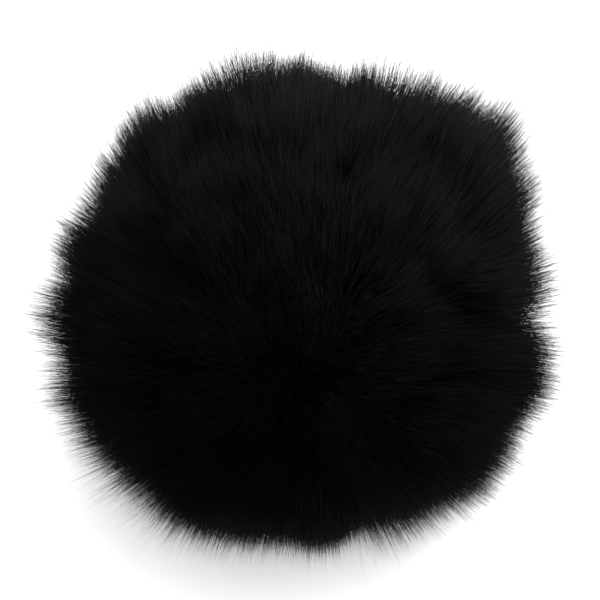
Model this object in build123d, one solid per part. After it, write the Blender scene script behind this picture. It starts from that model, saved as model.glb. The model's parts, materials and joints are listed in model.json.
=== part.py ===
from build123d import *
import math
import os

# A slip-on furry windscreen for a slim microphone. A foam insert on a soft rubber collar
# takes the microphone from below, and a cover of six long-pile fur gores slips over the foam.
# Millimetres, +Z up. The origin is the middle of the collar's flat base, on which it stands.

# Microphone socket, open at the base
MIC_BORE_RADIUS = 10.0
MIC_BORE_DEPTH = 40.0

# Foam insert and its collar
INSERT_RADIUS = 22.0  # the collar's barrel, the foam barrel and the foam dome
COLLAR_HEIGHT = 12.0
FLANGE_OVERHANG = 4.5
FLANGE_THICKNESS = 3.0
FLANGE_EDGE_RADIUS = 0.8
SPIGOT_WALL = 4.0  # the collar's tube that is glued up inside the foam barrel
SPIGOT_HEIGHT = 8.0

# Fur cover, from the inside out
SLIP_CLEARANCE = 0.3  # between the insert and the cover
LINING_THICKNESS = 0.6
TAPE_THICKNESS = 0.8
TAPE_WIDTH = 7.0
CROWN_PATCH_RADIUS = 6.8
CROWN_PATCH_GAP = 0.2
BACKING_THICKNESS = 1.2
PILE_LENGTH = 23.0
PILE_SIDE_RADIUS = 70.0  # bulge of the fur's side, below its widest level
PILE_FLOOR_GAP = 0.5  # the pile's tips end just above the base
GORE_COUNT = 6
FIRST_SEAM_ANGLE = -7.0  # degrees from +X, seen from above

# Elasticated mouth
CASING_WIDTH = 4.4
CASING_HEIGHT = 7.0
CASING_WALL = 0.9
CASING_CORNER_RADIUS = 0.8
ELASTIC_CLEARANCE = 0.1
STITCH_COUNT = 48
STITCH_LENGTH = 2.4
STITCH_THICKNESS = 0.45
STITCH_EDGE_DISTANCE = 1.4  # from the casing's top edge to the middle of the stitches
HANG_CLEARANCE = 0.3  # between the pile that hangs over the mouth and what it hangs over

# Levels and radii that follow
GORE_ANGLE = 360.0 / GORE_COUNT
SEAM_ANGLES = [FIRST_SEAM_ANGLE + GORE_ANGLE * i for i in range(GORE_COUNT)]
DOME_LEVEL = MIC_BORE_DEPTH  # where barrels end and domes begin
FLANGE_RADIUS = INSERT_RADIUS + FLANGE_OVERHANG
SPIGOT_RADIUS = MIC_BORE_RADIUS + SPIGOT_WALL
SPIGOT_TOP = COLLAR_HEIGHT + SPIGOT_HEIGHT
LINING_RADIUS = INSERT_RADIUS + SLIP_CLEARANCE
TAPE_RADIUS = LINING_RADIUS + LINING_THICKNESS
BACKING_RADIUS = TAPE_RADIUS + TAPE_THICKNESS
PILE_ROOT_RADIUS = BACKING_RADIUS + BACKING_THICKNESS
PILE_TIP_RADIUS = PILE_ROOT_RADIUS + PILE_LENGTH
CASING_BOTTOM = FLANGE_THICKNESS + SLIP_CLEARANCE
CASING_TOP = CASING_BOTTOM + CASING_HEIGHT
CASING_OUTER_RADIUS = LINING_RADIUS + CASING_WIDTH
HANG_RADIUS = max(CASING_OUTER_RADIUS + STITCH_THICKNESS, FLANGE_RADIUS) + HANG_CLEARANCE


def turned(profile, start_angle=0.0, sweep=360.0):
    """Turns a flat half section, drawn as (radius, height), about the Z axis."""
    return Rot(0, 0, start_angle) * revolve(Plane.XZ * profile, Axis.Z, sweep)


def domed_shell(inner_radius, thickness):
    """Half section of a barrel wall that rises from the casing and closes in a dome."""
    outer_radius = inner_radius + thickness
    outline = [
        Line((inner_radius, CASING_TOP), (outer_radius, CASING_TOP)),
        Line((outer_radius, CASING_TOP), (outer_radius, DOME_LEVEL)),
        CenterArc((0, DOME_LEVEL), outer_radius, 0, 90),
        Line((0, DOME_LEVEL + outer_radius), (0, DOME_LEVEL + inner_radius)),
        CenterArc((0, DOME_LEVEL), inner_radius, 0, 90),
        Line((inner_radius, DOME_LEVEL), (inner_radius, CASING_TOP)),
    ]
    return make_face(Curve() + outline)


def base_collar():
    """Rubber collar: a flange to stand on, a barrel and a spigot, around the socket."""
    section = make_face(
        Polyline(
            (MIC_BORE_RADIUS, 0),
            (FLANGE_RADIUS, 0),
            (FLANGE_RADIUS, FLANGE_THICKNESS),
            (INSERT_RADIUS, FLANGE_THICKNESS),
            (INSERT_RADIUS, COLLAR_HEIGHT),
            (SPIGOT_RADIUS, COLLAR_HEIGHT),
            (SPIGOT_RADIUS, SPIGOT_TOP),
            (MIC_BORE_RADIUS, SPIGOT_TOP),
            close=True,
        )
    )
    flange_corners = section.vertices().sort_by(Axis.X)[-2:]
    edge_radius = min(FLANGE_EDGE_RADIUS, 0.45 * FLANGE_THICKNESS)
    return turned(fillet(flange_corners, edge_radius))


def foam_barrel():
    """Foam tube on the collar, bored for the microphone and counterbored for the spigot."""
    section = make_face(
        Polyline(
            (SPIGOT_RADIUS, COLLAR_HEIGHT),
            (INSERT_RADIUS, COLLAR_HEIGHT),
            (INSERT_RADIUS, DOME_LEVEL),
            (MIC_BORE_RADIUS, DOME_LEVEL),
            (MIC_BORE_RADIUS, SPIGOT_TOP),
            (SPIGOT_RADIUS, SPIGOT_TOP),
            close=True,
        )
    )
    return turned(section)


def foam_dome():
    """Foam half ball that closes the barrel over the microphone's tip."""
    outline = [
        Line((0, DOME_LEVEL), (INSERT_RADIUS, DOME_LEVEL)),
        CenterArc((0, DOME_LEVEL), INSERT_RADIUS, 0, 90),
        Line((0, DOME_LEVEL + INSERT_RADIUS), (0, DOME_LEVEL)),
    ]
    return turned(make_face(Curve() + outline))


def pile_section():
    """Half section of the standing pile: round above, bulging to the base, hollow inside."""
    side_center = PILE_TIP_RADIUS - PILE_SIDE_RADIUS
    side_drop = DOME_LEVEL - PILE_FLOOR_GAP
    side_angle = math.degrees(math.asin(side_drop / PILE_SIDE_RADIUS))
    foot_radius = side_center + math.sqrt(PILE_SIDE_RADIUS**2 - side_drop**2)
    inside = Polyline(
        (foot_radius, PILE_FLOOR_GAP),
        (HANG_RADIUS, PILE_FLOOR_GAP),
        (HANG_RADIUS, CASING_TOP),
        (PILE_ROOT_RADIUS, CASING_TOP),
        (PILE_ROOT_RADIUS, DOME_LEVEL),
    )
    outline = [
        inside,
        CenterArc((0, DOME_LEVEL), PILE_ROOT_RADIUS, 0, 90),
        Line((0, DOME_LEVEL + PILE_ROOT_RADIUS), (0, DOME_LEVEL + PILE_TIP_RADIUS)),
        CenterArc((0, DOME_LEVEL), PILE_TIP_RADIUS, 0, 90),
        CenterArc((side_center, DOME_LEVEL), PILE_SIDE_RADIUS, 0, -side_angle),
    ]
    return make_face(Curve() + outline)


def tape_layer():
    """The whole layer between lining and backing, from which tapes and patch are cut."""
    return turned(domed_shell(TAPE_RADIUS, TAPE_THICKNESS))


def seam_tape(seam_angle):
    """Flat tape behind one seam, from the casing up to the crown patch."""
    start = CROWN_PATCH_RADIUS + CROWN_PATCH_GAP
    height = DOME_LEVEL + PILE_TIP_RADIUS
    strip = Box(PILE_TIP_RADIUS, TAPE_WIDTH, height, align=(Align.MIN, Align.CENTER, Align.MIN))
    return tape_layer() & (Rot(0, 0, seam_angle) * Pos(start, 0, 0) * strip)


def crown_patch():
    """Round patch behind the point where the six seams meet."""
    disc = Cylinder(
        CROWN_PATCH_RADIUS, PILE_TIP_RADIUS, align=(Align.CENTER, Align.CENTER, Align.MIN)
    )
    return tape_layer() & (Pos(0, 0, DOME_LEVEL) * disc)


def mouth_section(width, height, corner_radius):
    """Rounded rectangle centred in the casing's section."""
    center = (LINING_RADIUS + CASING_WIDTH / 2, CASING_BOTTOM + CASING_HEIGHT / 2)
    return Pos(*center) * RectangleRounded(width, height, corner_radius)


def hem_casing():
    """Closed fabric channel around the mouth."""
    channel_width = CASING_WIDTH - 2 * CASING_WALL
    channel_height = CASING_HEIGHT - 2 * CASING_WALL
    outer = mouth_section(CASING_WIDTH, CASING_HEIGHT, CASING_CORNER_RADIUS)
    channel = mouth_section(channel_width, channel_height, CASING_CORNER_RADIUS / 2)
    return turned(outer) - turned(channel)


def mouth_elastic():
    """Elastic band inside the casing."""
    inset = CASING_WALL + ELASTIC_CLEARANCE
    width = CASING_WIDTH - 2 * inset
    height = CASING_HEIGHT - 2 * inset
    return turned(mouth_section(width, height, CASING_CORNER_RADIUS / 2))


def hem_stitching():
    """Ring of thread stitches on the outside of the casing."""
    stitch = Box(STITCH_THICKNESS, STITCH_LENGTH, STITCH_THICKNESS)
    ring_radius = CASING_OUTER_RADIUS + STITCH_THICKNESS / 2
    level = CASING_TOP - STITCH_EDGE_DISTANCE
    places = PolarLocations(ring_radius, STITCH_COUNT)
    return Compound([Pos(0, 0, level) * place * stitch for place in places])


pieces = {
    "base_collar": base_collar(),
    "foam_barrel": foam_barrel(),
    "foam_dome": foam_dome(),
    "inner_lining": turned(domed_shell(LINING_RADIUS, LINING_THICKNESS)),
    "crown_patch": crown_patch(),
    "hem_casing": hem_casing(),
    "mouth_elastic": mouth_elastic(),
    "hem_stitching": hem_stitching(),
}
backing = domed_shell(BACKING_RADIUS, BACKING_THICKNESS)
for number, seam_angle in enumerate(SEAM_ANGLES, start=1):
    pieces[f"seam_tape_{number}"] = seam_tape(seam_angle)
    pieces[f"gore_backing_{number}"] = turned(backing, seam_angle, GORE_ANGLE)
    pieces[f"fur_pile_{number}"] = turned(pile_section(), seam_angle, GORE_ANGLE)

os.makedirs("parts", exist_ok=True)
for name, piece in pieces.items():
    export_step(piece, f"parts/{name}.step")
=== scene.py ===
"""Furry slip-on windscreen: the looks of its fur cover, foam insert and rubber collar."""
import json
from math import atan2, cos, pi, radians, sin, tau
from typing import NamedTuple

import bmesh
import bpy
import numpy as np
from bpy.props import FloatProperty, IntProperty, PointerProperty, StringProperty
from mathutils import Matrix, Vector, noise


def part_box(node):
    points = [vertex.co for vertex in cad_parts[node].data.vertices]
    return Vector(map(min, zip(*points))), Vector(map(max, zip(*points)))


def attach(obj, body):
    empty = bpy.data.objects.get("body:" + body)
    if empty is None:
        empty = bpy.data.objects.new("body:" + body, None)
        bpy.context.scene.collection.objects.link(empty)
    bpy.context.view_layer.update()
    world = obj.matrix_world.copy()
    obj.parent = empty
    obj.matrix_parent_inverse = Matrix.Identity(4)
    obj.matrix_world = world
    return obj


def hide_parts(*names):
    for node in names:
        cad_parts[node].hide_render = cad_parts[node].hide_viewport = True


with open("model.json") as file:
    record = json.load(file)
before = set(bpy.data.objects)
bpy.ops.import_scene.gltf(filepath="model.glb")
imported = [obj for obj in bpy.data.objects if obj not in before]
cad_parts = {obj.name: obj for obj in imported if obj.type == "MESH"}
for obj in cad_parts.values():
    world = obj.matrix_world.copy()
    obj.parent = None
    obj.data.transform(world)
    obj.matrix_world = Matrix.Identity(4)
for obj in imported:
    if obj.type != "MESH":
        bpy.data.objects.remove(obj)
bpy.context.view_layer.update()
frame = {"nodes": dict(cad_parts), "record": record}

bl_info = {
    "name": "Furry Windscreen",
    "version": (1, 0, 0),
    "blender": (4, 5, 0),
    "location": "View3D > Sidebar > Windscreen",
    "description": "Makes the fur cover, foam insert and collar of a slip-on microphone windscreen",
    "category": "Object",
}

MM = 0.001
GORES = range(1, 7)
INSERT = "foam_insert"
COVER = "fur_cover"
BAKE_MAP = "OFBake"
MERGE_GAP = 1e-6


# ---------------------------------------------------------------- sizes read from the frame

def half_width(node):
    """Half of a round node's width."""
    low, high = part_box(node)
    return (high.x - low.x) / 2


def bottom(node):
    """Level of a node's lowest point."""
    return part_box(node)[0].z


def top(node):
    """Level of a node's highest point."""
    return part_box(node)[1].z


def first_seam():
    """Angle about Z at which the first gore begins."""
    points = [v.co for v in frame["nodes"]["fur_pile_1"].data.vertices]
    return min(atan2(p.y, p.x) for p in points if p.xy.length > INSERT_RADIUS)


FLOOR = 0.0
DOME_LEVEL = top("foam_barrel")
INSERT_RADIUS = half_width("foam_barrel")
LINING_RADIUS = half_width("inner_lining")
CASING_BOTTOM = bottom("hem_casing")
CASING_TOP = top("hem_casing")
CASING_OUTER = half_width("hem_casing")
ROOT_RADIUS = top("gore_backing_1") - DOME_LEVEL
BACKING_INNER = ROOT_RADIUS - 1.2 * MM
LINING_INNER = INSERT_RADIUS + 0.3 * MM
CASING_INNER = INSERT_RADIUS + 0.35 * MM
SPIGOT_RADIUS = 14.0 * MM
SPIGOT_TOP = top("base_collar")
FLANGE_TOP = 3.0 * MM
PILE_LENGTH = top("fur_pile_1") - top("gore_backing_1")
BARREL_DROP = DOME_LEVEL - CASING_TOP
FLANGE_RADIUS = half_width("base_collar")
BORE_RADIUS = frame["record"]["mounts"][0]["dims"]["r_mm"] * MM
GORE_ANGLE = tau / len(GORES)
FIRST_SEAM = first_seam()
SEAMS = [FIRST_SEAM + GORE_ANGLE * i for i in range(len(GORES))]


# ---------------------------------------------------------------- settings

class FurSettings(bpy.types.PropertyGroup):
    """The cover's pile."""

    tufts: IntProperty(name="Tufts", description="Pointed tufts on one gore", default=900, min=1)
    mounds: IntProperty(name="Mounds", description="Larger locks on one gore", default=60, min=1)
    length: FloatProperty(
        name="Length",
        description="Length of the loose hair, a little more than the solid pile's",
        default=PILE_LENGTH * 1.15,
        unit="LENGTH",
        min=MM,
    )
    lean: FloatProperty(
        name="Lean", description="How far the pile is combed over", default=0.6, min=0, max=2
    )
    color: StringProperty(name="Colour", description="sRGB hex colour of the pile", default="#101011")


class ClothSettings(bpy.types.PropertyGroup):
    """The sewn cloth under the pile."""

    gathers: IntProperty(
        name="Gathers", description="Folds that the elastic draws in the casing", default=44, min=3
    )
    stitches: IntProperty(
        name="Stitches", description="Stitches around the casing", default=48, min=3
    )
    color: StringProperty(name="Colour", description="sRGB hex colour of the cloth", default="#17181a")


class InsertSettings(bpy.types.PropertyGroup):
    """The foam insert and its collar."""

    pore: FloatProperty(
        name="Pore",
        description="Width of a foam pore",
        default=0.85 * MM,
        unit="LENGTH",
        precision=5,
    )
    rough: FloatProperty(
        name="Roughness",
        description="Unevenness of the cut foam",
        default=0.16 * MM,
        unit="LENGTH",
        precision=5,
    )
    foam_color: StringProperty(
        name="Foam", description="sRGB hex colour of the foam", default="#3c3f43"
    )
    rubber_color: StringProperty(
        name="Rubber", description="sRGB hex colour of the collar", default="#151618"
    )


class StageSettings(bpy.types.PropertyGroup):
    """Floor, lights and camera."""

    elevation: FloatProperty(
        name="Elevation",
        description="Camera's height as an angle above the floor",
        default=radians(66),
        subtype="ANGLE",
    )
    distance: FloatProperty(
        name="Distance", description="Camera to windscreen", default=0.475, unit="LENGTH"
    )
    lens: FloatProperty(name="Lens", description="Focal length", default=152.0, unit="CAMERA")
    floor_color: StringProperty(
        name="Floor", description="sRGB hex colour of the floor", default="#f4f4f4"
    )


# ---------------------------------------------------------------- materials

def linear(hex_color, alpha=1.0):
    """sRGB hex colour as linear RGBA."""
    channels = [int(hex_color[i : i + 2], 16) / 255 for i in (1, 3, 5)]
    curve = [c / 12.92 if c <= 0.04045 else ((c + 0.055) / 1.055) ** 2.4 for c in channels]
    return (*curve, alpha)


def add_node(tree, kind, inputs=None, stops=(), **settings):
    """Adds a shader node with its properties, its inputs (numbers or links) and its ramp's stops."""
    node = tree.nodes.new(f"ShaderNode{kind}")
    for key, value in settings.items():
        setattr(node, key, value)
    for key, value in (inputs or {}).items():
        if isinstance(value, bpy.types.NodeSocket):
            tree.links.new(value, node.inputs[key])
        else:
            node.inputs[key].default_value = value
    elements = node.color_ramp.elements if stops else ()
    while len(elements) < len(stops):
        elements.new(0.5)
    for element, (place, hex_color) in zip(elements, stops):
        element.position = place
        element.color = linear(hex_color)
    return node.outputs


def new_material(name, **shader_values):
    """A material with a Principled shader set to these values."""
    material = bpy.data.materials.new(name)
    material.use_nodes = True
    shader = material.node_tree.nodes["Principled BSDF"]
    for key, value in shader_values.items():
        shader.inputs[key.replace("_", " ")].default_value = value
    return material, material.node_tree, shader


def link_shader(tree, shader, base_color, roughness, relief=None, depth=0.0, strength=1.0):
    """Links a material's colour, its roughness and a relief of a real depth to its shader."""
    tree.links.new(base_color, shader.inputs["Base Color"])
    tree.links.new(roughness, shader.inputs["Roughness"])
    if relief:
        bump = add_node(tree, "Bump", {"Height": relief, "Distance": depth, "Strength": strength})
        tree.links.new(bump["Normal"], shader.inputs["Normal"])


def fur_material(name, middle_color, tip_color):
    """Modacrylic pile, spun fine and dyed in the mass: soft, dull and near black.

    The eye sees single strands a little paler or darker than their neighbours. Their roots, lost
    in the dark of the pile, are painted darker as shade. The map runs from one strand to the next
    across, and from root to tip upwards.
    """
    material, tree, shader = new_material(name, Specular_IOR_Level=0.05)
    place = add_node(tree, "UVMap", uv_map=BAKE_MAP)["UV"]
    split = add_node(tree, "SeparateXYZ", {"Vector": place})
    across = add_node(tree, "Math", {0: split["X"], 1: SHADES_ON_MAP}, operation="MULTIPLY")[0]
    strand_place = add_node(tree, "CombineXYZ", {"X": across})[0]
    strand = add_node(
        tree,
        "TexNoise",
        {"Vector": strand_place, "Scale": 1.0, "Detail": 1.0},
        noise_dimensions="2D",
    )["Fac"]
    # Painted shade: each strand darkens to near black towards its root, deep in the pile where little
    # light reaches.
    painted_root_shade_stops = [(0.0, "#050505"), (0.55, middle_color), (1.0, tip_color)]
    along = add_node(tree, "ValToRGB", {"Fac": split["Y"]}, painted_root_shade_stops)["Color"]
    shade_stops = [(0.32, "#5c5c5c"), (0.5, "#a0a0a0"), (0.66, "#ffffff")]
    shade = add_node(tree, "ValToRGB", {"Fac": strand}, shade_stops)["Color"]
    colors = {0: 1.0, 6: along, 7: shade}
    mixed = add_node(tree, "Mix", colors, data_type="RGBA", blend_type="MULTIPLY")[2]
    rough = add_node(tree, "Math", {0: strand, 1: 0.25, 2: 0.38}, operation="MULTIPLY_ADD")[0]
    link_shader(tree, shader, mixed, rough)
    return material


def ridges(tree, value, count):
    """Rounded ridges, from 0 to 1, that repeat count times as the value goes from 0 to 1."""
    angle = add_node(tree, "Math", {0: value, 1: count * tau}, operation="MULTIPLY")[0]
    wave = add_node(tree, "Math", {0: angle}, operation="SINE")[0]
    return add_node(tree, "Math", {0: wave, 1: 0.5, 2: 0.5}, operation="MULTIPLY_ADD")[0]


def knit_material(name, color, columns, row_height, depth, skew=0.0, roughness=0.85):
    """Knitted or woven polyester of round pieces: dull ribs up the piece and rows around it.
    The hollows between ribs and rows are painted near black as shade.

    Columns are counted around the piece. Ribs and rows are drawn coarser than real ones, which
    are too fine to show.
    """
    material, tree, shader = new_material(
        name, Specular_IOR_Level=0.3, Sheen_Weight=0.25, Sheen_Roughness=0.5
    )
    place = add_node(tree, "TexCoord")["Object"]
    split = add_node(tree, "SeparateXYZ", {"Vector": place})
    angle = add_node(tree, "Math", {0: split["Y"], 1: split["X"]}, operation="ARCTAN2")[0]
    turn = add_node(tree, "Math", {0: angle, 1: tau}, operation="DIVIDE")[0]
    slant = add_node(tree, "Math", {0: split["Z"], 1: skew}, operation="MULTIPLY")[0]
    slanted = add_node(tree, "Math", {0: turn, 1: slant}, operation="ADD")[0]
    ribs = ridges(tree, slanted, columns)
    rows = ridges(tree, split["Z"], 1 / row_height)
    weave = add_node(tree, "Math", {0: ribs, 1: rows}, operation="MULTIPLY")[0]
    fuzz = add_node(tree, "TexNoise", {"Vector": place, "Scale": 1 / (0.4 * MM), "Detail": 3.0})["Fac"]
    relief = add_node(tree, "Math", {0: fuzz, 1: 0.5, 2: weave}, operation="MULTIPLY_ADD")[0]
    # Painted shade: where the relief is low, in the hollows between ribs and rows, the cloth is painted
    # near black.
    shade = add_node(tree, "ValToRGB", {"Fac": relief}, [(0.1, "#060607"), (1.0, color)])["Color"]
    least = roughness - 0.08
    rough = add_node(tree, "Math", {0: fuzz, 1: 0.15, 2: least}, operation="MULTIPLY_ADD")[0]
    link_shader(tree, shader, shade, rough, relief, depth)
    return material


def thread_material(color):
    """Bonded polyester thread, twisted from plies: a low gloss that runs in slanted lines, and
    painted shade in the grooves between the plies.

    The twist is drawn coarser than the real one, which is too fine to show.
    """
    material, tree, shader = new_material("bonded_polyester_thread", Specular_IOR_Level=0.5)
    place = add_node(tree, "TexCoord")["Object"]
    twist = add_node(
        tree,
        "TexWave",
        {"Vector": place, "Scale": 1 / (3.1 * MM), "Distortion": 0.6},
        bands_direction="DIAGONAL",
    )["Fac"]
    # Painted shade: the grooves of the twist, where the wave is low, are painted near black.
    shade = add_node(tree, "ValToRGB", {"Fac": twist}, [(0.2, "#0c0c0d"), (0.9, color)])["Color"]
    rough = add_node(tree, "Math", {0: twist, 1: -0.12, 2: 0.55}, operation="MULTIPLY_ADD")[0]
    link_shader(tree, shader, shade, rough, twist, 0.05 * MM)
    return material


def foam_material(color, pore):
    """Open-cell polyurethane foam, cut with a hot wire: thin, paler walls round pores that are painted
    near black as shade.

    The pores are drawn wider than real ones, which are too fine to show.
    """
    material, tree, shader = new_material("open_cell_foam", Specular_IOR_Level=0.3)
    place = add_node(tree, "TexCoord")["Object"]
    cells = add_node(
        tree,
        "TexVoronoi",
        {"Vector": place, "Scale": 1 / pore, "Randomness": 0.95},
        feature="DISTANCE_TO_EDGE",
    )["Distance"]
    large = add_node(tree, "TexNoise", {"Vector": place, "Scale": 1 / (7 * MM), "Detail": 2.0})["Fac"]
    wall_stops = [(0.04, "#ffffff"), (0.2, "#000000")]
    walls = add_node(tree, "ValToRGB", {"Fac": cells}, wall_stops)["Color"]
    # Painted shade: inside each pore, away from its walls, the foam is painted near black.
    pores = add_node(tree, "ValToRGB", {"Fac": walls}, [(0.0, "#050506"), (1.0, color)])["Color"]
    patch_stops = [(0.35, "#c4c4c4"), (0.65, "#ffffff")]
    patches = add_node(tree, "ValToRGB", {"Fac": large}, patch_stops)["Color"]
    colors = {0: 1.0, 6: pores, 7: patches}
    mixed = add_node(tree, "Mix", colors, data_type="RGBA", blend_type="MULTIPLY")[2]
    rough = add_node(tree, "Math", {0: walls, 1: -0.1, 2: 0.95}, operation="MULTIPLY_ADD")[0]
    link_shader(tree, shader, mixed, rough, walls, 0.4 * MM)
    return material


def rubber_material(color):
    """Moulded thermoplastic rubber from a spark-eroded mould: even, matte, with a fine grain.

    Handling leaves patches that are a little paler and duller.
    """
    material, tree, shader = new_material("moulded_rubber", Specular_IOR_Level=0.5)
    place = add_node(tree, "TexCoord")["Object"]
    grain = add_node(tree, "TexNoise", {"Vector": place, "Scale": 1 / (0.25 * MM), "Detail": 4.0})["Fac"]
    worn = add_node(tree, "TexNoise", {"Vector": place, "Scale": 1 / (9 * MM), "Detail": 3.0})["Fac"]
    shade = add_node(tree, "ValToRGB", {"Fac": worn}, [(0.3, color), (0.75, "#232426")])["Color"]
    rough = add_node(tree, "Math", {0: worn, 1: 0.25, 2: 0.5}, operation="MULTIPLY_ADD")[0]
    link_shader(tree, shader, shade, rough, grain, 0.03 * MM, 0.6)
    return material


def floor_material(color):
    """Opal acrylic of a light table, lit faintly from below, with a trace of its grain."""
    material, tree, shader = new_material(
        "light_table_acrylic",
        Specular_IOR_Level=0.1,
        Roughness=0.95,
        Emission_Color=(1, 1, 1, 1),
        Emission_Strength=0.45,
    )
    place = add_node(tree, "TexCoord")["Object"]
    grain = add_node(tree, "TexNoise", {"Vector": place, "Scale": 1 / (2 * MM), "Detail": 2.0})["Fac"]
    shade = add_node(tree, "ValToRGB", {"Fac": grain}, [(0.0, "#f1f1f1"), (1.0, color)])["Color"]
    tree.links.new(shade, shader.inputs["Base Color"])
    return material


# ---------------------------------------------------------------- making pieces

def dress(piece, body, material, slot, *nodes):
    """Gives a piece its material and its body, and hides the CAD nodes that it stands for; the slot is
    not used.
    """
    piece.data.materials.clear()
    piece.data.materials.append(material)
    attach(piece, body)
    if nodes:
        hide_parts(*nodes)
    return piece


def new_piece(name, mesh, smooth=True):
    """Links a mesh as an object at the origin."""
    mesh.shade_smooth() if smooth else mesh.shade_flat()
    piece = bpy.data.objects.new(name, mesh)
    bpy.context.scene.collection.objects.link(piece)
    return piece


def piece_from(bm, name):
    """Turns a bmesh into an object at the origin, with its faces outwards."""
    bmesh.ops.recalc_face_normals(bm, faces=bm.faces)
    mesh = bpy.data.meshes.new(name)
    bm.to_mesh(mesh)
    bm.free()
    return new_piece(name, mesh)


def spun(profile, steps, start=0.0, sweep=tau):
    """Spins a closed outline of (radius, height) points about Z, a full turn or part of one."""
    bm = bmesh.new()
    verts = [bm.verts.new((r * cos(start), r * sin(start), z)) for r, z in profile]
    for a, b in zip(verts, verts[1:] + verts[:1]):
        bm.edges.new((a, b))
    full = sweep > tau - MERGE_GAP
    if not full:
        bm.faces.new(verts)
    bmesh.ops.spin(
        bm,
        geom=bm.verts[:] + bm.edges[:] + bm.faces[:],
        cent=(0, 0, 0),
        axis=(0, 0, 1),
        angle=sweep,
        steps=steps,
        use_merge=full,
    )
    bmesh.ops.remove_doubles(bm, verts=bm.verts, dist=MERGE_GAP)
    return bm


def round_edges(bm, offset, segments=3, sharp=radians(35)):
    """Bevels every edge where two faces meet at more than the sharp angle."""
    edges = [e for e in bm.edges if len(e.link_faces) == 2 and e.calc_face_angle(0) > sharp]
    bmesh.ops.bevel(
        bm,
        geom=edges,
        offset=offset,
        segments=segments,
        profile=0.5,
        affect="EDGES",
        material=-1,
        clamp_overlap=True,
    )


def arc(radius, center_height, first, last, steps):
    """Points of a circular arc in the (radius, height) plane, centred on the axis."""
    return [
        (radius * cos(a), center_height + radius * sin(a))
        for a in np.linspace(first, last, steps + 1)
    ]


def run(first, last, steps):
    """Evenly spaced points from first towards last, without last."""
    return [
        (first[0] + (last[0] - first[0]) * i / steps, first[1] + (last[1] - first[1]) * i / steps)
        for i in range(steps)
    ]


# ---------------------------------------------------------------- pile

class Lock(NamedTuple):
    """A place on the ball's outline, as the viewer sees it, where the pile is longer or shorter."""

    place: float  # degrees from the right side, anticlockwise
    width: float  # degrees
    gain: float  # share of the pile's length


LOCK_DEPTH = 0.8  # sine of the angle, out of the outline's plane, at which the locks have faded
LOCKS = (
    Lock(5, 3, 0.3),  # the upper lip of the step at the right side
    Lock(38, 4, 0.4),  # the long lock at the upper right
    Lock(60, 8, 0.15),  # a low swell between it and the crown
    Lock(83, 8, -0.3),  # the flat crown
    Lock(117, 4, -0.3),  # the notch at the upper left
    Lock(215, 28, 0.3),  # the full lower left
    Lock(320, 20, 0.3),  # the full lower right
    Lock(356, 3, -0.5),  # the step at the right side
)


class Comb:
    """The way the pile was combed: up, as the viewer sees the ball."""

    def __init__(self, elevation):
        self.right = np.array((1.0, 0.0, 0.0))
        self.up = np.array((0.0, sin(elevation), cos(elevation)))
        self.view = np.array((0.0, -cos(elevation), sin(elevation)))

    def facing(self, outward):
        """How squarely these directions face the viewer, from 0 to 1."""
        return np.clip(outward @ self.view, 0, 1)[:, None]

    def lowered(self, outward):
        """How far down the view these directions point, from 0 at its top to 1 at its bottom."""
        return 0.5 - 0.5 * (outward @ self.up)[:, None]

    def outline_gain(self, tips):
        """The outline's gain in length for these tips, which fades towards the middle of the view."""
        away = unit(tips - np.array((0, 0, DOME_LEVEL)))
        turn = np.degrees(np.arctan2(away @ self.up, away @ self.right))
        side = np.clip(1 - np.abs(away @ self.view) / LOCK_DEPTH, 0, 1) ** 0.5
        gain = np.zeros(len(tips))
        for lock in LOCKS:
            gap = (turn - lock.place + 180) % 360 - 180
            gain += lock.gain * np.exp(-((gap / lock.width) ** 2) / 2)
        return (gain * side)[:, None]


PLASTIC_NUMBER = 1.324717957244746  # the real root of x**3 = x + 1
PLASTIC_STEP = np.array((1 / PLASTIC_NUMBER, 1 / PLASTIC_NUMBER**2))


def even_spread(count, start):
    """Points in the unit square that cover it evenly in any number."""
    return (start + np.outer(np.arange(1, count + 1), PLASTIC_STEP)) % 1.0


def unit(vectors):
    """These vectors with length 1."""
    return vectors / np.linalg.norm(vectors, axis=-1, keepdims=True)


def gore_points(spread, seam):
    """Spreads points over a gore's backing by area, from the crown to the casing."""
    angle = seam + spread[:, 0] * GORE_ANGLE
    dome_share = ROOT_RADIUS / (ROOT_RADIUS + BARREL_DROP)
    up = np.clip(1 - spread[:, 1] / dome_share, 0, 1)
    drop = np.clip((spread[:, 1] - dome_share) / (1 - dome_share), 0, 1) * BARREL_DROP
    out = np.sqrt(1 - up**2)
    return np.stack(
        (
            ROOT_RADIUS * out * np.cos(angle),
            ROOT_RADIUS * out * np.sin(angle),
            DOME_LEVEL - drop + ROOT_RADIUS * up,
        ),
        axis=1,
    )


def on_backing(points):
    """The nearest places on the backing, and the outward directions there."""
    axis_points = np.zeros_like(points)
    axis_points[:, 2] = np.clip(points[:, 2], CASING_TOP + 0.2 * MM, DOME_LEVEL)
    outward = points - axis_points
    barrel = points[:, 2] < DOME_LEVEL
    outward[barrel, 2] = 0
    outward = unit(outward)
    return axis_points + outward * ROOT_RADIUS, outward


PARTING_WIDTH = 3 * MM


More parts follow.
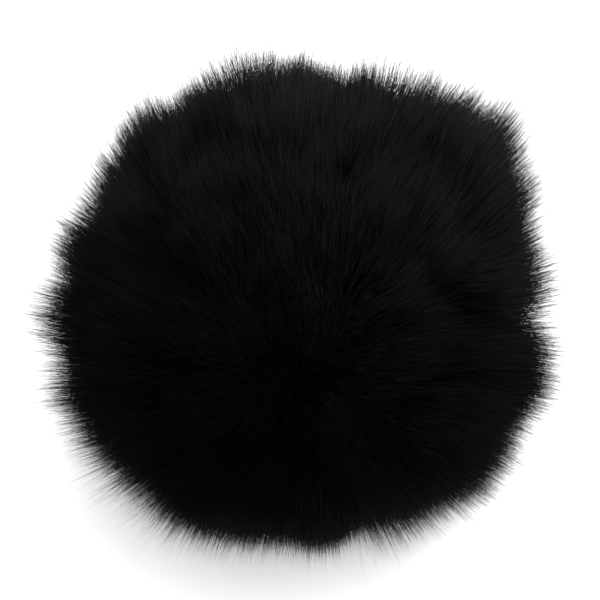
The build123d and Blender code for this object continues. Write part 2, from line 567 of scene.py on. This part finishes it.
def pile_fall(places, outward, fur, comb):
    """How the pile leaves the backing at these places, how it bends, and its share of the length.

    It is combed towards the back, parts softly at the seams, and droops and shortens near the mouth.
    Low runs from 0 at the dome to 1 at the casing, and gap counts parting widths from a seam.
    """
    low = np.clip((DOME_LEVEL - places[:, 2]) / BARREL_DROP, 0, 1)[:, None]
    across = comb.up - (outward @ comb.up)[:, None] * outward
    facing = comb.facing(outward)
    to_right = (outward @ comb.right)[:, None]
    # The comb leans it most on the near side, and less on the right and near the mouth.
    lean = fur.lean * (1 + 1.2 * facing**2 * comb.lowered(outward) - 0.35 * to_right)
    lean *= 1 - 0.4 * low
    # A seam pushes the pile aside, most at one parting width from it.
    turn = np.arctan2(places[:, 1], places[:, 0])
    round_z = np.stack((-np.sin(turn), np.cos(turn), np.zeros_like(turn)), axis=1)
    from_seam = (turn - FIRST_SEAM + GORE_ANGLE / 2) % GORE_ANGLE - GORE_ANGLE / 2
    gap = np.hypot(places[:, 0], places[:, 1]) * from_seam / PARTING_WIDTH
    parting = (0.42 * gap * np.exp(-(gap**2) / 2))[:, None]
    # The lowest pile starts downwards over the casing, and curls in under the ball.
    down = np.array((0, 0, -1.0))
    start = unit(outward + lean * across + parting * round_z + (0.3 * low + 0.8 * low**6) * down)
    bend = (0.08 + 0.45 * low**2) * down - 0.15 * low * outward
    share = (1 - 0.4 * low**1.5) * (1 + comb.outline_gain(places + fur.length * (start + bend)))
    return start, bend, share


def curve_at(root, start, bend, length, t):
    """Points of strands at t along them: from the root, along start, bending over."""
    return root + length * (start * t + bend * t**2)


def strand_template(cuts):
    """One thin closed strand from height 0 to 1, three-sided and cut across at these heights."""
    bm = bmesh.new()
    bmesh.ops.create_cone(
        bm,
        cap_ends=True,
        cap_tris=False,
        segments=3,
        radius1=1.0,
        radius2=0.0,
        depth=1.0,
        matrix=Matrix.Translation((0, 0, 0.5)),
    )
    for height in cuts:
        bmesh.ops.bisect_plane(
            bm,
            geom=bm.verts[:] + bm.edges[:] + bm.faces[:],
            plane_co=(0, 0, height),
            plane_no=(0, 0, 1),
        )
    bmesh.ops.remove_doubles(bm, verts=bm.verts, dist=MERGE_GAP)
    bmesh.ops.triangulate(bm, faces=bm.faces)
    bmesh.ops.recalc_face_normals(bm, faces=bm.faces)
    return bm


def copies_of(bm, name, count):
    """A mesh with this many copies of a small shape, one after another."""
    mesh = bpy.data.meshes.new(name)
    bm.to_mesh(mesh)
    seed_piece = bpy.data.objects.new(name, mesh)
    bpy.context.scene.collection.objects.link(seed_piece)
    array = seed_piece.modifiers.new("copies", "ARRAY")
    array.count = count
    array.use_relative_offset = False
    array.use_constant_offset = False
    depsgraph = bpy.context.evaluated_depsgraph_get()
    many = bpy.data.meshes.new_from_object(seed_piece.evaluated_get(depsgraph))
    bpy.data.objects.remove(seed_piece)
    bpy.data.meshes.remove(mesh)
    return many


def strand_frames(directions, rolls):
    """Two directions across each strand, turned by the strand's own roll."""
    helper = np.where(np.abs(directions[..., 2:3]) < 0.9, (0.0, 0.0, 1.0), (1.0, 0.0, 0.0))
    first = unit(np.cross(directions, helper))
    second = np.cross(directions, first)
    c, s = np.cos(rolls)[..., None], np.sin(rolls)[..., None]
    return first * c + second * s, second * c - first * s


TUFTS_ON_MAP = 0.9  # share of the map's width over which the tufts are spread
STRANDS_ON_MAP = 0.07  # and the strands of one tuft
ROUND_ON_MAP = 0.03  # and one strand's own round
SHADES_ON_MAP = 14.0  # shades of strand, from pale to dark, across the map
LOOK_AHEAD = 0.02  # share of a strand's length over which its direction is taken
TIP_LEVEL = FLOOR + 0.25 * MM  # the lowest that any hair hangs


def pile_mesh(name, layer, curve, half_widths, map_places, rng):
    """Builds one layer of a gore's hair in one mesh; curve gives every strand's point at t."""
    bm = strand_template(layer.cuts)
    verts = np.array([v.co for v in bm.verts])
    count = len(half_widths)
    mesh = copies_of(bm, name, count)
    bm.free()
    rolls = rng.uniform(0, tau, count)
    heights = (0.0, *layer.cuts, 1.0)
    points = np.zeros((count, len(verts), 3))
    uv = np.zeros((count, len(verts), 2))
    for i, (x, y, height) in enumerate(verts):
        t = layer.foot + (1 - layer.foot) * height
        center = curve(t)
        angle = atan2(y, x) % tau
        if height > 1 - MERGE_GAP:
            points[:, i] = center
            angle = pi
        else:
            ahead = unit(curve(t + LOOK_AHEAD) - center)
            first, second = strand_frames(ahead, rolls)
            width = (half_widths * np.interp(height, heights, layer.taper))[:, None]
            points[:, i] = center + width * (cos(angle) * first + sin(angle) * second)
        across = map_places + ROUND_ON_MAP * angle / tau
        uv[:, i] = np.stack((across, np.full(count, t)), axis=1)
    mesh.vertices.foreach_set("co", points.reshape(-1).astype(np.float32))
    bake_map = mesh.uv_layers.new(name=BAKE_MAP)
    corner_verts = np.zeros(len(mesh.loops), np.int32)
    mesh.loops.foreach_get("vertex_index", corner_verts)
    corners = uv.reshape(-1, 2)[corner_verts].reshape(-1).astype(np.float32)
    bake_map.uv.foreach_set("vector", corners)
    mesh.update()
    return mesh


class Layer(NamedTuple):
    """One kind of hair in the pile. Lengths are shares of the length of the hair's tuft."""

    strands: int  # in a tuft
    scatter: float  # of the roots about the tuft's middle
    foot: float  # where a strand begins, as a share of its length
    shortest: float
    spread: float
    tail: bool  # most strands are short and few are long, rather than even
    jitter: float  # in direction
    grip: tuple  # how far a tuft gathers its tips, from the loosest tuft to the tightest
    width: float
    cuts: tuple  # heights at which a strand can bend
    taper: tuple  # its width at the foot, at each cut and at the tip


# Real pile has far more hairs, each a few hundredths of a millimetre thick. They are too fine to
# show, so there are fewer here and each is drawn several times as thick.
UNDERFUR = Layer(
    strands=12,
    scatter=1.1 * MM,
    foot=0.0,
    shortest=0.35,
    spread=0.33,
    tail=False,
    jitter=0.12,
    grip=(0.0, 0.2),
    width=0.45 * MM,
    cuts=(),
    taper=(1, 0),
)
GUARD_HAIR = Layer(
    strands=13,
    scatter=1.0 * MM,
    foot=0.0,
    shortest=0.66,
    spread=0.26,
    tail=False,
    jitter=0.07,
    grip=(0.2, 0.65),
    width=0.14 * MM,
    cuts=(0.55,),
    taper=(1, 0.8, 0),
)
FINE_HAIR = Layer(
    strands=40,
    scatter=1.2 * MM,
    foot=0.56,
    shortest=0.71,
    spread=0.41,
    tail=True,
    jitter=0.1,
    grip=(0.05, 0.5),
    width=0.085 * MM,
    cuts=(),
    taper=(1, 0),
)


def mounds(fur, comb):
    """The larger locks of the whole cover: where each one stands, its tip and its size."""
    rng = np.random.default_rng(7)
    spreads = [gore_points(even_spread(fur.mounds, rng.random(2)), seam) for seam in SEAMS]
    hearts, outward = on_backing(np.concatenate(spreads))
    start, bend, share = pile_fall(hearts, outward, fur, comb)
    unruly = 0.12 + 0.13 * comb.facing(outward)
    start = unit(start + unruly * rng.normal(0, 1, start.shape))
    sizes = rng.normal(1.0, 0.055, (len(hearts), 1))
    return hearts, curve_at(hearts, start, bend, fur.length * share * sizes, 1.0), sizes


class Tufts:
    """The tufts of one gore: where they stand, and how they fall into the larger mounds."""

    def __init__(self, seam, fur, comb, rng):
        self.fur = fur
        self.comb = comb
        spread = gore_points(even_spread(fur.tufts, rng.random(2)), seam)
        self.middles, outward = on_backing(spread)
        start, self.bend, share = pile_fall(self.middles, outward, fur, comb)
        unruly = 0.05 + 0.08 * comb.facing(outward) + 0.06 * comb.lowered(outward)
        self.start = unit(start + unruly * rng.normal(0, 1, start.shape))
        hearts, tips, sizes = mounds(fur, comb)
        gaps = np.linalg.norm(self.middles[:, None] - hearts[None], axis=2)
        mound = np.argmin(gaps, axis=1)
        self.length = fur.length * share * sizes[mound] * rng.normal(1.0, 0.075, (fur.tufts, 1))
        # Tufts lean towards the tip of their mound, and hang freer of it near the mouth.
        low = np.clip((DOME_LEVEL - self.middles[:, 2:]) / BARREL_DROP, 0, 1)
        self.pull = 0.45 * (1 - 0.75 * low) * (tips[mound] - self.curve(slice(None), 1.0))

    def curve(self, chosen, t):
        """Points at t along the middles of the chosen tufts."""
        root, start = self.middles[chosen], self.start[chosen]
        return curve_at(root, start, self.bend[chosen], self.length[chosen], t)

    def hair(self, name, layer, rng):
        """One layer of strands in these tufts."""
        count = self.fur.tufts * layer.strands
        own = np.repeat(np.arange(self.fur.tufts), layer.strands)
        roots, outward = on_backing(self.middles[own] + rng.normal(0, layer.scatter, (count, 3)))
        start, bend, _ = pile_fall(roots, outward, self.fur, self.comb)
        lowered = self.comb.lowered(outward)
        start = unit(start + layer.jitter * (0.7 + 1.0 * lowered) * rng.normal(0, 1, start.shape))
        longer = rng.beta(1, 2, (count, 1)) if layer.tail else 1 - rng.random((count, 1)) ** 2
        share = layer.shortest + layer.spread * (1.45 - 0.9 * lowered) * longer
        length = self.length[own] * share
        grip = rng.uniform(*layer.grip, (self.fur.tufts, 1))[own]
        pull = self.pull[own]

        def curve(t):
            heart = self.curve(own, t * share)
            free = curve_at(roots, start, bend, length, t)
            point = free + grip * t**1.4 * (heart - free) + pull * (t * share) ** 1.5
            point[:, 2] = np.maximum(point[:, 2], TIP_LEVEL)
            return point

        half_widths = layer.width / 2 * rng.uniform(0.65, 1.15, count)
        map_places = rng.uniform(0, TUFTS_ON_MAP, self.fur.tufts)[own]
        map_places += rng.uniform(0, STRANDS_ON_MAP, count)
        return pile_mesh(name, layer, curve, half_widths, map_places, rng)


def grow(context, name, layer, material, replaced=()):
    """Grows one layer of hair on all six gores."""
    fur = context.scene.windscreen_fur
    comb = Comb(context.scene.windscreen_stage.elevation)
    for number, seam in zip(GORES, SEAMS):
        tufts = Tufts(seam, fur, comb, np.random.default_rng(100 + number))
        own_name = f"{name}_{number}"
        mesh = tufts.hair(own_name, layer, np.random.default_rng(200 + number))
        nodes = [f"{node}_{number}" for node in replaced]
        dress(new_piece(own_name, mesh), COVER, material, "long_pile_fur", *nodes)


class WINDSCREEN_OT_guard_hair(bpy.types.Operator):
    """Make the long guard hair of the six gores"""

    bl_idname = "windscreen.guard_hair"
    bl_label = "Guard Hair"

    def execute(self, context):
        color = context.scene.windscreen_fur.color
        material = fur_material("modacrylic_guard_hair", color, color)
        grow(context, "guard_hair", GUARD_HAIR, material, ("fur_pile",))
        return {"FINISHED"}


class WINDSCREEN_OT_fine_hair(bpy.types.Operator):
    """Make the fine hair of the six gores, whose tips stand out of the guard hair"""

    bl_idname = "windscreen.fine_hair"
    bl_label = "Fine Hair"

    def execute(self, context):
        color = context.scene.windscreen_fur.color
        material = fur_material("modacrylic_fine_hair", color, color)
        grow(context, "fine_hair", FINE_HAIR, material)
        return {"FINISHED"}


class WINDSCREEN_OT_underfur(bpy.types.Operator):
    """Make the short dense underfur of the six gores"""

    bl_idname = "windscreen.underfur"
    bl_label = "Underfur"

    def execute(self, context):
        color = context.scene.windscreen_fur.color
        # Painted shade: the underfur, deep under the longer hair, is painted near black from its root to
        # its middle and pales only towards its tip.
        material = fur_material("modacrylic_underfur", "#050505", color)
        grow(context, "underfur", UNDERFUR, material)
        return {"FINISHED"}


# ---------------------------------------------------------------- sewn cloth

def wall_profile(inner, outer, foot, steps):
    """Outline of a barrel wall that rises from the foot and closes in a dome."""
    barrel = DOME_LEVEL
    up = run((outer, foot), (outer, barrel), steps)
    over = arc(outer, barrel, 0, pi / 2, steps)
    back = arc(inner, barrel, pi / 2, 0, steps)
    down = run((inner, barrel), (inner, foot), steps)[1:]
    return up + over + back + down + [(inner, foot)]


class WINDSCREEN_OT_cloth(bpy.types.Operator):
    """Make the backing, lining, seam tapes and crown patch"""

    bl_idname = "windscreen.cloth"
    bl_label = "Sewn Cloth"

    def execute(self, context):
        cloth = context.scene.windscreen_cloth
        knit = knit_material("warp_knit_backing", cloth.color, 140, 1.3 * MM, 0.15 * MM)
        jersey = knit_material("smooth_jersey", cloth.color, 200, 0.9 * MM, 0.08 * MM, 0.0, 0.75)
        twill = knit_material("twill_tape", cloth.color, 150, 1.2 * MM, 0.1 * MM, 30.0, 0.8)
        for number, seam in zip(GORES, SEAMS):
            profile = wall_profile(BACKING_INNER, ROOT_RADIUS, CASING_TOP, 16)
            bm = spun(profile, 14, seam, GORE_ANGLE)
            self.draw_in(bm, seam)
            piece = piece_from(bm, f"gore_{number}_backing")
            dress(piece, COVER, knit, "backing_knit", f"gore_backing_{number}")
        for node in [f"seam_tape_{i}" for i in GORES] + ["crown_patch"]:
            dress_node(node, twill)
        bm = spun(wall_profile(LINING_INNER, LINING_RADIUS, CASING_TOP, 24), 96)
        self.pucker(bm)
        dress(piece_from(bm, "lining_bag"), COVER, jersey, "lining_jersey", "inner_lining")
        return {"FINISHED"}

    def draw_in(self, bm, seam):
        """Draws a gore's backing in at its two seams, as their stitches do."""
        reach, depth = 2.5 * MM, 0.012
        for v in bm.verts:
            into = (atan2(v.co.y, v.co.x) - seam) % tau
            gap = v.co.xy.length * min(into, GORE_ANGLE - into, key=abs)
            v.co.xy *= 1 - depth * max(0.0, 1 - abs(gap) / reach)

    def pucker(self, bm):
        """Puckers the loose lining a little, in 24 columns."""
        columns, height, depth = 24, 4 * MM, 0.003
        for v in bm.verts:
            turn = atan2(v.co.y, v.co.x)
            v.co.xy *= 1 + depth * sin(turn * columns) * sin((v.co.z - CASING_TOP) / height)


def dress_node(node, material):
    """Gives a carried-over CAD node a material."""
    shown = frame["nodes"][node]
    shown.data.materials.clear()
    shown.data.materials.append(material)


# ---------------------------------------------------------------- elasticated mouth

class WINDSCREEN_OT_mouth(bpy.types.Operator):
    """Make the gathered casing, its stitches and the elastic inside"""

    bl_idname = "windscreen.mouth"
    bl_label = "Elastic Mouth"

    def execute(self, context):
        cloth = context.scene.windscreen_cloth
        webbing = knit_material("ribbed_polyester_casing", cloth.color, 260, 0.8 * MM, 0.12 * MM)
        elastic = knit_material("woven_elastic", "#1f2022", 130, 0.7 * MM, 0.2 * MM)
        bm = self.gathered_tube(cloth.gathers)
        dress(piece_from(bm, "gathered_casing"), COVER, webbing, "casing_webbing", "hem_casing")
        dress_node("mouth_elastic", elastic)
        stitches = self.stitches(cloth.stitches)
        thread = thread_material("#2b2c2f")
        piece = piece_from(stitches, "casing_stitches")
        dress(piece, COVER, thread, "sewing_thread", "hem_stitching")
        return {"FINISHED"}

    def gathered_tube(self, gathers):
        """The casing: a closed channel drawn into soft folds by the elastic."""
        low, high = CASING_BOTTOM, CASING_TOP
        inner, outer = CASING_INNER, CASING_OUTER
        corner = 1.1 * MM
        deepest_fold = 0.13
        outline = []
        for center, first in (
            ((outer - corner, high - corner), 0),
            ((inner + corner, high - corner), pi / 2),
            ((inner + corner, low + corner), pi),
            ((outer - corner, low + corner), 3 * pi / 2),
        ):
            for a in np.linspace(first, first + pi / 2, 5):
                outline.append((center[0] + corner * cos(a), center[1] + corner * sin(a)))
        bm = spun(outline, gathers * 6)
        middle = Vector(((inner + outer) / 2, 0, (low + high) / 2))
        for v in bm.verts:
            turn = atan2(v.co.y, v.co.x)
            radial = Vector((cos(turn), sin(turn), 0))
            heart = radial * middle.x + Vector((0, 0, middle.z))
            swell = v.co - heart
            uneven = noise.noise(Vector((cos(turn), sin(turn), 0.3)) * 7)
            fold = 0.5 + 0.5 * cos(turn * gathers + 2.5 * uneven)
            tall = abs(swell.z) / ((high - low) / 2)
            v.co = heart + swell * (1 - deepest_fold * fold * (0.6 + 0.4 * tall))
        return bm

    def stitches(self, count):
        """A ring of lockstitches, each a short bowed length of thread sunk at both ends."""
        bm = bmesh.new()
        level = (bottom("hem_stitching") + top("hem_stitching")) / 2
        reach = CASING_OUTER - 0.1 * MM
        shape = Matrix.Diagonal((0.26 * MM, 1.2 * MM, 0.24 * MM, 1))
        for i in range(count):
            turn = tau * i / count
            place = Matrix.Rotation(turn, 4, "Z") @ Matrix.Translation((reach, 0, level))
            bmesh.ops.create_icosphere(bm, subdivisions=1, radius=1.0, matrix=place @ shape)
        return bm


# ---------------------------------------------------------------- foam insert and collar

def roughened(bm, depth, size):
    """Moves every point of a cut foam surface a little in or out."""
    bm.normal_update()
    for v in bm.verts:
        v.co += v.normal * depth * noise.fractal(v.co / size, 0.6, 2.0, 3)
    return bm


class WINDSCREEN_OT_foam(bpy.types.Operator):
    """Make the foam barrel and its dome"""

    bl_idname = "windscreen.foam"
    bl_label = "Foam Insert"

    def execute(self, context):
        insert = context.scene.windscreen_insert
        material = foam_material(insert.foam_color, insert.pore)
        low, high = bottom("foam_barrel"), DOME_LEVEL
        radius = INSERT_RADIUS - 0.05 * MM
        steps, torn = 150, 1.6 * MM
        outline = (
            run((radius, low), (radius, high), 40)
            + run((radius, high), (BORE_RADIUS, high), 12)
            + run((BORE_RADIUS, high), (BORE_RADIUS, SPIGOT_TOP), 20)
            + run((BORE_RADIUS, SPIGOT_TOP), (SPIGOT_RADIUS, SPIGOT_TOP), 4)
            + run((SPIGOT_RADIUS, SPIGOT_TOP), (SPIGOT_RADIUS, low), 8)
            + run((SPIGOT_RADIUS, low), (radius, low), 6)
        )
        barrel = piece_from(roughened(spun(outline, steps), insert.rough, torn), "foam_tube")
        dress(barrel, INSERT, material, "windscreen_foam", "foam_barrel")
        outline = run((0, high), (radius, high), 10) + arc(radius, high, 0, pi / 2, 44)
        dome = piece_from(roughened(spun(outline, steps), insert.rough, torn), "foam_cap")
        dress(dome, INSERT, material, "windscreen_foam", "foam_dome")
        return {"FINISHED"}


class WINDSCREEN_OT_collar(bpy.types.Operator):
    """Make the rubber collar with its grip lips"""

    bl_idname = "windscreen.collar"
    bl_label = "Rubber Collar"

    def execute(self, context):
        insert = context.scene.windscreen_insert
        rubber = rubber_material(insert.rubber_color)
        seat = bottom("foam_barrel")
        lip, lip_reach = 0.5 * MM, 0.6 * MM
        groove_inner, groove_outer, groove_depth = 20 * MM, 22 * MM, 0.5 * MM
        outline = [
            (FLANGE_RADIUS, 0),
            (FLANGE_RADIUS, FLANGE_TOP),
            (INSERT_RADIUS, FLANGE_TOP),
            (INSERT_RADIUS, seat),
            (SPIGOT_RADIUS, seat),
            (SPIGOT_RADIUS, SPIGOT_TOP),
            (BORE_RADIUS, SPIGOT_TOP),
        ]
        for height in (16 * MM, 12 * MM, 8 * MM, 4 * MM):
            outline += [
                (BORE_RADIUS, height + lip_reach),
                (BORE_RADIUS - lip, height),
                (BORE_RADIUS, height - lip_reach),
            ]
        outline += [
            (BORE_RADIUS, 0),
            (groove_inner, 0),
            (groove_inner, groove_depth),
            (groove_outer, groove_depth),
            (groove_outer, 0),
        ]
        bm = spun(outline, 128)
        round_edges(bm, 0.35 * MM)
        dress(piece_from(bm, "rubber_collar"), INSERT, rubber, "collar_rubber", "base_collar")
        return {"FINISHED"}


# ---------------------------------------------------------------- stage

def soft_light(name, place, target, *, size, power, color="#ffffff"):
    """A square soft box that faces the target."""
    light = bpy.data.lights.new(name, "AREA")
    light.size = size
    light.energy = power
    light.color = linear(color)[:3]
    lamp = bpy.data.objects.new(name, light)
    lamp.location = place
    lamp.rotation_euler = (target - lamp.location).to_track_quat("-Z", "Y").to_euler()
    bpy.context.scene.collection.objects.link(lamp)
    return lamp


class WINDSCREEN_OT_stage(bpy.types.Operator):
    """Make the floor, the lights and the camera"""

    bl_idname = "windscreen.stage"
    bl_label = "Stage"

    def execute(self, context):
        stage = context.scene.windscreen_stage
        center = Vector((0, 0, DOME_LEVEL))
        bm = bmesh.new()
        half_size = 3.0
        bmesh.ops.create_grid(bm, x_segments=2, y_segments=2, size=half_size)
        floor = piece_from(bm, "light_table")
        floor.data.materials.append(floor_material(stage.floor_color))

        context.scene.world = self.studio()
        soft_light("overhead_box", (0.1, 0.12, 0.65), center, size=0.9, power=9.0)
        soft_light("side_box", (0.45, 0.4, 0.35), center, size=0.35, power=2.4)
        soft_light("back_box", (0.15, 0.68, 0.3), center, size=0.4, power=4.4, color="#e8f4ff")

        data = bpy.data.cameras.new("camera")
        data.lens = stage.lens
        camera = bpy.data.objects.new("camera", data)
        away = Vector((0, -cos(stage.elevation), sin(stage.elevation)))
        up = Vector((0, sin(stage.elevation), cos(stage.elevation)))
        aim_rise = 0.3 * MM
        aim = center + up * aim_rise
        camera.location = aim + away * stage.distance
        camera.rotation_euler = (aim - camera.location).to_track_quat("-Z", "Y").to_euler()
        context.scene.collection.objects.link(camera)
        context.scene.camera = camera
        context.scene.view_settings.view_transform = "Standard"
        return {"FINISHED"}

    def studio(self):
        """White walls, which the camera sees paler than they light the windscreen."""
        lit, seen_more = 0.22, 0.43
        world = bpy.data.worlds.new("studio")
        world.use_nodes = True
        tree = world.node_tree
        seen = add_node(tree, "LightPath")["Is Camera Ray"]
        strength = add_node(tree, "Math", {0: seen, 1: seen_more, 2: lit}, operation="MULTIPLY_ADD")[0]
        background = tree.nodes["Background"]
        background.inputs["Color"].default_value = (1, 1, 1, 1)
        tree.links.new(strength, background.inputs["Strength"])
        return world


# ---------------------------------------------------------------- add-on

class VIEW3D_PT_windscreen(bpy.types.Panel):
    """The windscreen's pieces"""

    bl_label = "Furry Windscreen"
    bl_space_type = "VIEW_3D"
    bl_region_type = "UI"
    bl_category = "Windscreen"

    def draw(self, context):
        for operator in OPERATORS:
            self.layout.operator(operator.bl_idname)


OPERATORS = (
    WINDSCREEN_OT_stage,
    WINDSCREEN_OT_collar,
    WINDSCREEN_OT_foam,
    WINDSCREEN_OT_cloth,
    WINDSCREEN_OT_mouth,
    WINDSCREEN_OT_underfur,
    WINDSCREEN_OT_guard_hair,
    WINDSCREEN_OT_fine_hair,
)
SETTINGS = {
    "windscreen_fur": FurSettings,
    "windscreen_cloth": ClothSettings,
    "windscreen_insert": InsertSettings,
    "windscreen_stage": StageSettings,
}


def register():
    for group in SETTINGS.values():
        bpy.utils.register_class(group)
    for operator in OPERATORS:
        bpy.utils.register_class(operator)
    bpy.utils.register_class(VIEW3D_PT_windscreen)
    for name, group in SETTINGS.items():
        setattr(bpy.types.Scene, name, PointerProperty(type=group))


def unregister():
    for name in SETTINGS:
        delattr(bpy.types.Scene, name)
    bpy.utils.unregister_class(VIEW3D_PT_windscreen)
    for cls in (*reversed(OPERATORS), *SETTINGS.values()):
        bpy.utils.unregister_class(cls)


def main():
    register()
    bpy.ops.windscreen.stage()
    bpy.ops.windscreen.collar()
    bpy.ops.windscreen.foam()
    bpy.ops.windscreen.cloth()
    bpy.ops.windscreen.mouth()
    bpy.ops.windscreen.underfur()
    bpy.ops.windscreen.guard_hair()
    bpy.ops.windscreen.fine_hair()


if __name__ == "__main__":
    main()
